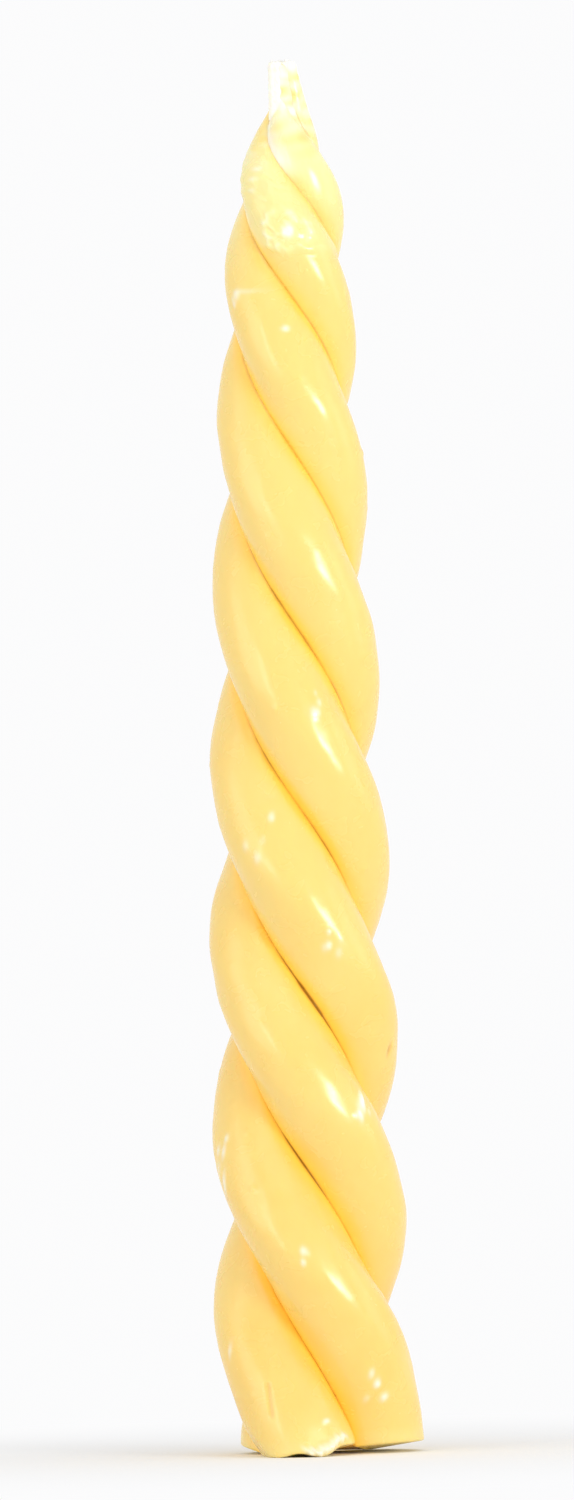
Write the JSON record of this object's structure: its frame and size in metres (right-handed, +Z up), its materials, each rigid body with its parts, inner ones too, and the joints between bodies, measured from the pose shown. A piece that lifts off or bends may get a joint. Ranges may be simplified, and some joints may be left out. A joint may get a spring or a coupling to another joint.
{
  "type": "twisted candle",
  "caption": "Twisted taper candle: round wax strands laid round one another, closing to a narrow tip with bare wicks, standing on its cut foot.",
  "frame": {"origin": "on the candle's axis at its foot, in the plane that it stands on", "axes": "+Z up along the candle to the wicks, -Y towards the picture's viewer, +X to the viewer's right"},
  "size_m": [0.037, 0.0355, 0.25],
  "materials": {
    "wax": "satin gloss, pale yellow wax",
    "wick": "matt braided cotton, soaked with wax"
  },
  "bodies": {
    "root": {"front_strand": "wax", "right_strand": "wax", "left_strand": "wax", "front_wick": "wick", "right_wick": "wick", "left_wick": "wick"}
  },
  "joints": []
}
